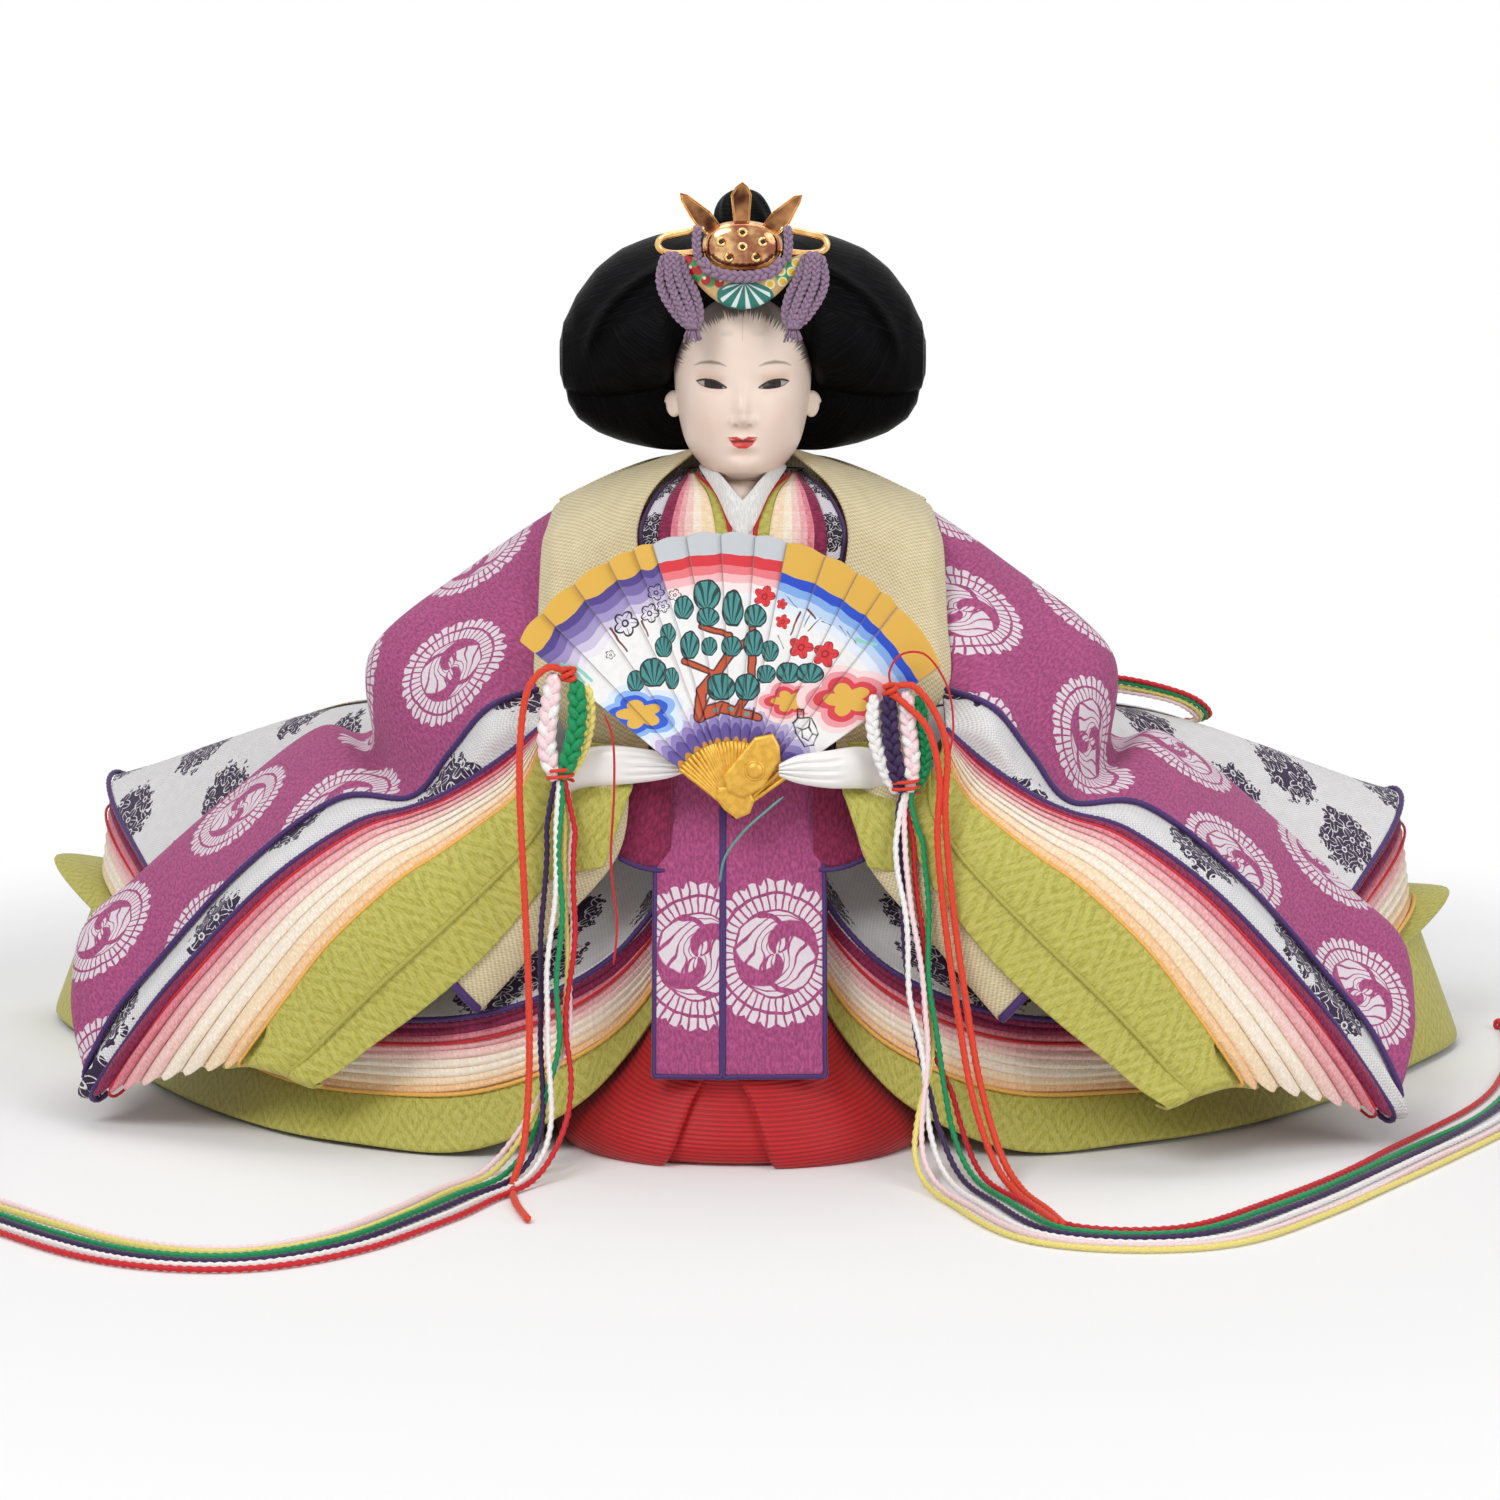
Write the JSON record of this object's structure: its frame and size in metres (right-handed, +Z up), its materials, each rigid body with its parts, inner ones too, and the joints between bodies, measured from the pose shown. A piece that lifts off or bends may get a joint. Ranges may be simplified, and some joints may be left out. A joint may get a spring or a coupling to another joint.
{
  "type": "hina doll",
  "caption": "Seated hina empress doll in layered court robes, holding an open painted fan with hanging silk cords, gilt crown on wide black hair.",
  "frame": {"origin": "on the ground under the middle of the doll, without its free cords", "axes": "+Z up, the doll faces -Y, +X is the doll's left hand side, on the right seen from the front"},
  "size_m": [0.4468, 0.3237, 0.2304],
  "materials": {
    "board_wood": "bare paulownia",
    "straw": "bound straw, rough",
    "porcelain": "smooth, half matt",
    "eye_glass": "polished",
    "hair_silk": "combed silk, slight sheen",
    "gilt": "polished gilt",
    "mauve_braid": "braided silk",
    "white_silk": "fine silk",
    "lime_silk": "woven diamonds, sheen",
    "peach_silk": "crepe silk",
    "cream_silk": "crepe silk",
    "pink_silk": "crepe silk",
    "maroon_silk": "crepe silk",
    "white_brocade": "silvery brocade with dark flowers",
    "purple_crepe": "crepe with woven white roundels",
    "scarlet_silk": "fine ribbed silk",
    "gauze": "coarse even gauze",
    "white_gauze": "thin gauze with gold touches",
    "fan_wood": "painted thin wood, gilt edge",
    "cord_silk": "twisted silk in six colours",
    "wire_steel": "dull wire"
  },
  "bodies": {
    "doll": {"base_board": "board_wood", "body_core": "straw", "white_collar": "white_silk", "green_collar": "lime_silk", "pink_collar": "pink_silk", "maroon_collar": "maroon_silk", "brocade_collar": "white_brocade", "jacket_left": "gauze", "jacket_right": "gauze", "jacket_back": "gauze", "jacket_roll_left": "gauze", "jacket_roll_right": "gauze", "front_panel_left": "purple_crepe", "front_panel_right": "purple_crepe", "hakama": "scarlet_silk", "train": "white_gauze", "cord_back": "cord_silk", "arm_wire_left": "wire_steel", "arm_wire_right": "wire_steel", "green_sleeve_left": "lime_silk", "green_sleeve_right": "lime_silk", "peach_sleeve_left": "peach_silk", "peach_sleeve_right": "peach_silk", "cream_sleeve_left": "cream_silk", "cream_sleeve_right": "cream_silk", "pink_sleeve_left": "pink_silk", "pink_sleeve_right": "pink_silk", "maroon_sleeve_left": "maroon_silk", "maroon_sleeve_right": "maroon_silk", "brocade_sleeve_left": "white_brocade", "brocade_sleeve_right": "white_brocade", "purple_sleeve_left": "purple_crepe", "purple_sleeve_right": "purple_crepe", "green_hem": "lime_silk", "peach_hem": "peach_silk", "cream_hem": "cream_silk", "pink_hem": "pink_silk", "maroon_hem": "maroon_silk", "brocade_hem": "white_brocade"},
    "neck": {"neck_peg": "board_wood"},
    "head_set": {"head": "porcelain", "eye_left": "eye_glass", "eye_right": "eye_glass", "hair_front": "hair_silk", "hair_back": "hair_silk", "topknot": "hair_silk", "long_hair": "hair_silk", "crown_plate": "gilt", "crown_boss": "gilt", "crown_prongs": "gilt", "hairpin": "gilt", "crown_cord_left": "mauve_braid", "crown_cord_right": "mauve_braid"},
    "fan_set": {"fan": "fan_wood", "fan_braid_left": "cord_silk", "fan_braid_right": "cord_silk", "cord_left": "cord_silk", "cord_right": "cord_silk"},
    "left_hand": {"hand_left": "porcelain"},
    "right_hand": {"hand_right": "porcelain"}
  },
  "joints": [
    {"name": "head_lift", "type": "slide", "parent": "doll", "child": "neck", "axis": [0, 0, 1], "range_m": [0, 0.03]},
    {"name": "head_turn", "type": "hinge", "parent": "neck", "child": "head_set", "pos_m": [0, -0.045, 0.16], "axis": [0, 0, 1], "range_deg": [-10, 10]},
    {"name": "fan_lift", "type": "slide", "parent": "doll", "child": "fan_set", "axis": [0, 0, 1], "range_m": [0, 0.025]},
    {"name": "hand_left_bend", "type": "hinge", "parent": "doll", "child": "left_hand", "pos_m": [-0.043, -0.1026, 0.0928], "axis": [0, 1, 0], "range_deg": [0, 12]},
    {"name": "hand_right_bend", "type": "hinge", "parent": "doll", "child": "right_hand", "pos_m": [0.038, -0.1026, 0.0928], "axis": [0, -1, 0], "range_deg": [0, 12]}
  ]
}
